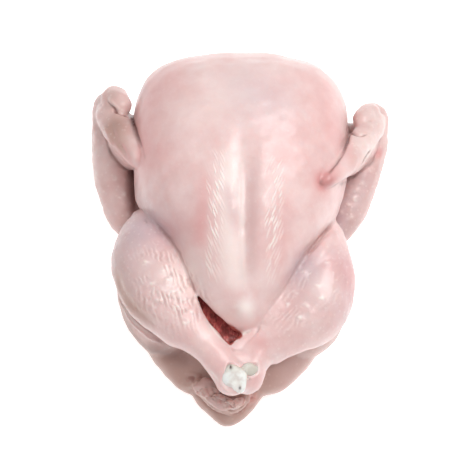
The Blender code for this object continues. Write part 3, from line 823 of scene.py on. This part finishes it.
# Pale flecks of fat beside the keel, with painted highlight on their ridges: slanting strokes 6.4
# mm apart, in three ragged rows a side.
# Each stroke's middle, length and strength are drawn by chance from its own number in the row.
strokes = 0.0
for row, (offset, middle) in enumerate(((40.0, -8.5), (40.5, -2.0), (40.2, 4.5))):
    turn = add(tree, "Math", {0: mask["stroke"], 1: offset}, operation="ADD")
    number = add(tree, "Math", {0: turn}, operation="FLOOR")
    seed = add(tree, "Math", {0: number, 1: 17.3 * row}, operation="ADD")
    chance = add(tree, "TexWhiteNoise", {"W": seed}, "Color", noise_dimensions="1D")
    parts = add(tree, "SeparateColor", {"Color": chance}).node.outputs
    beside = add(tree, "Math", {0: turn}, operation="FRACT")
    beside = add(tree, "Math", {0: beside, 1: 0.5}, operation="SUBTRACT")
    beside = add(tree, "Math", {0: beside}, operation="ABSOLUTE")
    thin_line = add(tree, "MapRange", {"Value": beside, "From Min": 0.46, "From Max": 0.12})
    shift = add(tree, "Math", {0: parts[0], 1: 5.0, 2: middle}, operation="MULTIPLY_ADD")
    off_middle = add(tree, "Math", {0: mask["across"], 1: shift}, operation="SUBTRACT")
    half = add(tree, "Math", {0: parts[1], 1: 3.0, 2: 1.6}, operation="MULTIPLY_ADD")
    off_middle = add(tree, "Math", {0: off_middle, 1: half}, operation="DIVIDE")
    off_middle = add(tree, "Math", {0: off_middle}, operation="ABSOLUTE")
    run_out = add(tree, "MapRange", {"Value": off_middle, "From Min": 1.0, "From Max": 0.5})
    seen = add(tree, "Math", {0: thin_line, 1: run_out}, operation="MULTIPLY")
    strokes = add(tree, "Math", {0: seen, 1: parts[2], 2: strokes}, operation="MULTIPLY_ADD")
# Wet wrinkles across the drumsticks, 5 mm apart, broken into flecks of 6 to 15 mm: their ridges are
# painted pale as painted glints and their furrows darker as painted shade.
bend = add(tree, "TexNoise", {"Vector": place, "Scale": 60.0, "Detail": 2.0})
bend = add(tree, "Math", {0: bend, 1: 13.0}, operation="MULTIPLY")
waves = {0: mask["leg_run"], 1: 2 * math.pi / 5.0, 2: bend}
waves = add(tree, "Math", {0: add(tree, "Math", waves, operation="MULTIPLY_ADD")}, operation="SINE")
broken = add(tree, "TexNoise", {"Vector": place, "Scale": 90.0, "Detail": 1.0})
islands = add(tree, "MapRange", {"Value": broken, "From Min": 0.45, "From Max": 0.6})
islands = add(tree, "Math", {0: islands, 1: mask["wrinkled"]}, operation="MULTIPLY")
ridges = add(tree, "MapRange", {"Value": waves, "To Max": 0.5})
ridges = add(tree, "Math", {0: islands, 1: ridges}, operation="MULTIPLY")
strokes = {0: strokes, 1: mask["herring"], 2: ridges}
strokes = add(tree, "Math", strokes, operation="MULTIPLY_ADD")
furrow_shade = {"Value": waves, "From Min": 0.2, "From Max": -0.9, "To Max": 0.45}
furrow_shade = add(tree, "MapRange", furrow_shade)
furrow_shade = add(tree, "Math", {0: islands, 1: furrow_shade}, operation="MULTIPLY")
pits = add(tree, "TexVoronoi", {"Vector": place, "Scale": 170.0, "Randomness": 0.8})
dots = add(tree, "MapRange", {"Value": pits, "From Min": 0.3, "From Max": 0.12, "To Max": 0.3})
dots = {0: dots, 1: mask["follicle"], 2: strokes}
flecks = add(tree, "Math", dots, operation="MULTIPLY_ADD")
# Strokes, follicle dots and wrinkle ridges are painted near white: pale fat, and painted glints of
# wet light.
pale_flecks_and_glints = add(tree, "Math", {0: flecks, 1: 0.9}, operation="MULTIPLY", use_clamp=True)
# Blood and painted shade in the folds and gaps, darkest along the thin lines of painted shade, and
# red flesh inside the body.
creases = {"Value": mask["fold"], "From Min": 0.25, "From Max": 1.2, "To Max": 0.6}
gulleys = {"Value": mask["deep"], "From Min": 0.25, "From Max": 1.0, "To Max": 0.6}
for amount, hex_code in (
    (pale_flecks_and_glints, "fff4ee"), (furrow_shade, "b89089"), (add(tree, "MapRange", creases), "a05a54"),
    (add(tree, "MapRange", gulleys), "7c463f"), (mask["line"], "5e2c28"),
):
    tone = add(tree, "Mix", {0: amount, 6: tone, 7: colour(hex_code)}, 2, data_type="RGBA")
raw = add(tree, "Mix", {0: specks, 6: colour("c4685e"), 7: colour("94403c")}, 2, data_type="RGBA")
tone = add(tree, "Mix", {0: mask["inside"], 6: tone, 7: raw}, 2, data_type="RGBA")
tree.links.new(tone, shader.inputs["Base Color"])
# Relief finer than the mesh: strokes, pits and the crepe of loose skin.
crepe = add(tree, "TexNoise", {"Vector": place, "Scale": 420.0, "Detail": 3.0, "Distortion": 0.6})
crepe = add(tree, "Math", {0: crepe, 1: mask["follicle"]}, operation="MULTIPLY")
height = add(tree, "Math", {0: crepe, 1: 0.5, 2: flecks}, operation="MULTIPLY_ADD")
bump = add(tree, "Bump", {"Height": height, "Strength": 0.55, "Distance": 0.001})
tree.links.new(bump, shader.inputs["Normal"])
damp = {"Value": specks, "From Min": 0.3, "From Max": 0.7, "To Min": 0.34, "To Max": 0.48}
tree.links.new(add(tree, "MapRange", damp), shader.inputs["Roughness"])
mesh.materials.clear()
mesh.materials.append(skin)
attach(turkey, "root")
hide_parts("turkey")

# ---- The cut ankle joints ----------------------------------------------------------------------
# Each leg was cut off at the hock. What shows is the joint's gristle: smooth, bluish white knuckles
# of wet cartilage with a groove between them, sunk in the collar of skin.


def knuckle(middle, facing, long_way, half_long, half_short, height, rise, seed):
    """middle + a r cos v long + b r sin v short + h sqrt(1 - r^4) up, with low waves on it."""
    facing, first, second = oval_axes(facing, long_way)
    r = np.linspace(0.02, 1, 26)[:, None]
    v = np.linspace(0, 2 * np.pi, 72, endpoint=False)[None, :]
    wobble = 1 + 0.05 * np.sin(2 * v + seed) + 0.05 * np.sin(3 * v + 2 * seed)
    wobble = wobble + 0.07 * np.cos(4 * v)
    a, b = r * np.cos(v) * wobble, r * np.sin(v) * wobble
    up = height * np.sqrt(np.clip(1 - r**4, 0,
        1)) * (1 + 0.22 * np.cos(2.6 * a + 0.6) * np.cos(2.2 * b))
    up = up + rise
    top = (np.array(middle, float) + (a * half_long)[..., None] * first
           + (b * half_short)[..., None] * second + up[..., None] * facing)
    under = top[-1:] - facing * 3.0 + (np.array(middle, float) - top[-1:]) * 0.25
    return np.concatenate([top, under])


gristle = closed_tubes("hock_cartilage", [
    knuckle(*cut_face, height, rise, seed)
    for cut_face, height, rise, seed in zip(ankle_cuts, (4.4, 3.4), (-2.4, -2.4), (0.5, 2.1))
])
# Two small vessels gape in it, and a dull membrane covers its upper side and the right hock.
flesh = np.array([v.co for v in gristle.data.vertices]) * 1000
vessels = 0
for spot in ((-10.8, -162.5, 117.3), (-1.5, -181, 107)):
    vessels = vessels + np.exp(-np.sum(((flesh - spot) / (1.0, 1.7, 1.7)) ** 2, axis=1) / 1.3)
dull = np.maximum(step(flesh[:, 1], -170, -163) * 0.8, step(flesh[:, 0], 3, 7))
paint(gristle.data, {"vessel": np.clip(1.3 * vessels, 0, 1), "dull": dull})
flesh = flesh - 1.5 * np.clip(vessels, 0, 1)[:, None] * (0.05, -0.45, 0.9) + move
gristle.data.vertices.foreach_set("co", (flesh * 0.001).ravel())
gristle.data.shade_smooth()
cartilage, tree, shader = new_material("wet_hock_cartilage", {
    "Roughness": 0.28, "IOR": 1.42, "Subsurface Weight": 0.4, "Subsurface Radius": (1.0, 0.8, 0.7),
    "Subsurface Scale": 0.003,
})
place = add(tree, "TexCoord", output="Object")
cloud = add(tree, "TexNoise", {"Vector": place, "Scale": 140.0, "Detail": 3.0})
veil = add(tree, "MapRange", {"Value": cloud, "From Min": 0.4, "From Max": 0.7})
tone = add(tree, "Mix", {0: veil, 6: colour("f2f2ee"), 7: colour("dcd3cd")}, 2, data_type="RGBA")
for name, hex_code in (("dull", "cfc9be"), ("vessel", "4a2622")):
    amount = add(tree, "Attribute", output="Fac", attribute_name=name)
    tone = add(tree, "Mix", {0: amount, 6: tone, 7: colour(hex_code)}, 2, data_type="RGBA")
tree.links.new(tone, shader.inputs["Base Color"])
dents = add(tree, "Bump", {"Height": cloud, "Strength": 0.3, "Distance": 0.0006})
tree.links.new(dents, shader.inputs["Normal"])
gristle.data.materials.append(cartilage)
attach(gristle, "root")

# ---- Loose skin at the vent --------------------------------------------------------------------
# Where the bird was drawn, the cut skin dries and crumples in thin flaps over one another.


def ruffle(stations, lean, seed):
    """line(u) + side(u) w cos v + up(u) (t sin v - curl + crumple), a thin leaf along a path.

    side(u) is level turned by the lean in degrees, curl bends the rims down by cos^2 v, and crumple
    is two sine waves across and along the leaf.
    """
    rows = smooth_rows(stations, 14)
    line = rows[:, :3]
    along = unit(np.gradient(line, axis=0))
    level, turn = unit(np.cross(along, (0, 0, 1))), math.radians(lean)
    side = level * math.cos(turn) + np.cross(level, along) * math.sin(turn)
    up = np.cross(side, along)
    gone = run_length(line)
    close = np.sin(np.pi * np.clip(gone / gone[-1], 0.02, 0.98)) ** 0.4
    v = np.linspace(0, 2 * np.pi, 40, endpoint=False)[None, :]
    width, height = (rows[:, 3:] * close[:, None]).T[:, :, None]
    wide = width * np.cos(v)
    tall = height * np.sin(v) - 0.22 * width * np.cos(v) ** 2
    s = gone[:, None]
    tall = tall + 0.7 * np.sin(0.75 * wide + 0.45 * s + seed)
    tall = tall + 0.45 * np.sin(1.15 * s - 0.5 * wide + 2 * seed)
    return line[:, None] + side[:, None] * wide[..., None] + up[:, None] * tall[..., None]


leaves = (
    (((-46, -176, 66, 4.5, 1.5), (-41, -177, 69, 5.5, 1.8), (-34, -177, 71, 5.5, 1.8),
        (-27, -177, 71, 5, 1.8), (-22, -179, 71, 3.5, 1.4)), -20, 0.3),
    (((-31, -182, 69, 3, 1.4), (-26, -184, 70, 5, 1.8), (-19, -188, 70, 6, 1.8),
        (-12, -190, 69, 5.5, 1.8), (-7, -192, 66, 3.5, 1.4)), -25, 1.4),
    (((-29, -180, 71, 2, 1.3), (-22, -182, 73, 2.6, 1.4), (-15, -185, 73, 2.6, 1.4),
        (-8, -186, 71, 2, 1.2)), -10, 2.2),
    (((-12, -189, 70, 3, 1.4), (-7, -189, 71, 4.5, 1.6), (-1, -187, 70, 5, 1.6),
        (4, -182, 67, 3.5, 1.4)), -25, 3.7),
    (((-18, -188, 73, 1.8, 1.1), (-13, -187, 74, 2.1, 1.2), (-9, -189, 73, 2.1, 1.2),
        (-6, -193, 70, 1.7, 1.1)), 10, 5.1),
)
ruffles = [ruffle(*leaf) for leaf in leaves]
vent_leaves = closed_tubes("vent_skin", ruffles)
# The leaves are tanned all over, pale along their rims, where cos v is 1 or -1, and darkened in
# patches with painted shade between their crumples.
rim = np.abs(np.cos(np.linspace(0, 2 * np.pi, 40, endpoint=False))) ** 6
spots = np.array([v.co for v in vent_leaves.data.vertices]) * 1000
paint(vent_leaves.data, {
    "tan_and_shade": np.full(len(spots), 0.8), "follicle": np.full(len(spots), 0.3),
    "pallor_and_highlight": 0.5 * np.concatenate([np.r_[np.tile(rim, len(grid)), 1, 1] for grid in ruffles]),
    "blush": 0.15 + 0.12 * np.sin(spots[:, 0] * 0.5),
    "line": 0.3 * step(-ripple(spots, 14, 12), 0.2, 1.4),
})
vent_leaves.data.transform(Matrix.Translation(Vector(move) * 0.001))
vent_leaves.data.shade_smooth()
vent_leaves.data.materials.append(skin)
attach(vent_leaves, "root")

# ---- Inside the body's opening -----------------------------------------------------------------
# Behind the keel's tip a wet flap of belly muscle and thin red membranes hang across the opening.


def hanging(left_edge, right_edge, sag, thick, seed):
    """Straight lines from one edge to the other, sagging by sag sin(pi v), with small ripples."""
    one, other = smooth_rows(left_edge, 6), smooth_rows(right_edge, 6)
    v = np.linspace(0, 1, 24)[None, :, None]
    sheet = one[:, None] * (1 - v) + other[:, None] * v
    sheet[..., 2] -= sag * np.sin(np.pi * v[..., 0])
    x, y = sheet[..., 0], sheet[..., 1]
    sheet[..., 2] += 0.5 * np.sin(x * 0.9 + seed) + 0.4 * np.sin(y * 0.7 + 2 * seed)
    below = sheet[:, ::-1] - np.array((0.0, 0.0, thick))
    return np.concatenate([sheet, below], axis=1)


flap = closed_tubes("belly_muscle", [
    hanging(((-52, -82, 111), (-43, -99, 108), (-31, -117, 104), (-17, -134, 100)),
        ((-44, -75, 109), (-26, -87, 103), (-8, -102, 97), (10, -118, 94)), 3, 2.0, 0.9),
    hanging(((-26, -112, 98), (-22, -124, 100), (-15, -134, 101)), ((-14, -106, 95), (-9, -116, 95),
        (-6, -128, 96)), 2, 2.0, 0.4),
    hanging(((-50, -84, 100), (-44, -96, 99), (-34, -112, 98)), ((-38, -84, 92), (-26, -100, 90),
        (-18, -116, 90)), 2, 2.0, 1.7),
    hanging(((-10, -106, 84), (-6, -118, 88), (-8, -134, 94)), ((10, -100, 82), (10, -112, 86),
        (4, -128, 92)), 2, 2.5, 3.1),
])
flap.data.transform(Matrix.Translation(Vector(move) * 0.001))
flap.data.shade_smooth()
meat, tree, shader = new_material("raw_red_muscle", {
    "Roughness": 0.32, "IOR": 1.4, "Subsurface Weight": 0.25, "Subsurface Radius": (1.0, 0.25, 0.2),
    "Subsurface Scale": 0.003,
})
place = add(tree, "TexCoord", output="Object")
stretch = add(tree, "Mapping", {"Vector": place, "Scale": (3.0, 1.0, 1.0)})
fibres = add(tree, "TexNoise", {"Vector": stretch, "Scale": 170.0, "Detail": 4.0})
share = add(tree, "MapRange", {"Value": fibres, "From Min": 0.35, "From Max": 0.65})
red = add(tree, "Mix", {0: share, 6: colour("c9726a"), 7: colour("a84a4a")}, 2, data_type="RGBA")
# Between the strands the gaps are painted dark, as painted shade of the emptied body behind, in
# patches of about 10 mm.
gap_shade = add(tree, "TexNoise", {"Vector": place, "Scale": 75.0, "Detail": 2.0})
gap_shade = add(tree, "MapRange", {"Value": gap_shade, "From Min": 0.5, "From Max": 0.58, "To Max": 0.6})
red = add(tree, "Mix", {0: gap_shade, 6: red, 7: colour("521c1c")}, 2, data_type="RGBA")
tree.links.new(red, shader.inputs["Base Color"])
strands = add(tree, "Bump", {"Height": fibres, "Strength": 0.5, "Distance": 0.0006})
tree.links.new(strands, shader.inputs["Normal"])
flap.data.materials.append(meat)
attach(flap, "root")

# ---- Studio ------------------------------------------------------------------------------------
# White paper under a soft even light: a large key over the bird's right shoulder, weak fills from
# the left and the tail, and a small lamp that draws the wet glints.
floor_mesh = bpy.data.meshes.new("floor")
floor_mesh.from_pydata([(-4, -4, 0), (4, -4, 0), (4, 4, 0), (-4, 4, 0)], [], [(0, 1, 2, 3)])
floor = placed("floor", floor_mesh)
# Just under the back, so that no two faces lie in one plane.
floor.location.z = -0.0005
floor_mesh.materials.append(new_material("matt_white_paper", {
    "Base Color": colour("fcfcfc"), "Roughness": 0.9, "Specular IOR Level": 0.1,
    "Emission Color": colour("ffffff"), "Emission Strength": 0.55,
})[0])

world = bpy.data.worlds.new("studio")
bpy.context.scene.world = world
world.use_nodes = True
world.node_tree.nodes["Background"].inputs["Color"].default_value = (1, 1, 1, 1)
world.node_tree.nodes["Background"].inputs["Strength"].default_value = 0.36


def softbox(name, spot, size, power, aim=(0, 0, 0.08)):
    """A square area light of the given size in metres and power in watts, facing the aim point."""
    lamp = bpy.data.lights.new(name, "AREA")
    lamp.size, lamp.energy = size, power
    thing = placed(name, lamp)
    thing.location = spot
    thing.rotation_euler = (Vector(aim) - Vector(spot)).to_track_quat("-Z", "Y").to_euler()


softbox("key", (0.65, 0.35, 1.5), 0.9, 16)
softbox("left_fill", (-1.0, 0.1, 1.2), 0.9, 3.4)
softbox("spark", (0.35, -0.25, 1.5), 0.12, 2)
softbox("tail_fill", (0.1, -1.2, 0.75), 0.8, 1.6)

# The camera looks down at the breast from over the tail, 70 degrees above the floor.
elevation, distance = math.radians(70), 1.392
aim = Vector((-0.0064, -0.0083, 0.080)) + Vector(move) * 0.001
lens = bpy.data.cameras.new("camera")
lens.lens, lens.sensor_width = 100, 36
camera = placed("camera", lens)
away = Vector((0, -math.cos(elevation), math.sin(elevation)))
camera.location = aim + away * distance
camera.rotation_euler = away.to_track_quat("Z", "Y").to_euler()
bpy.context.scene.camera = camera
bpy.context.scene.view_settings.view_transform = "Standard"
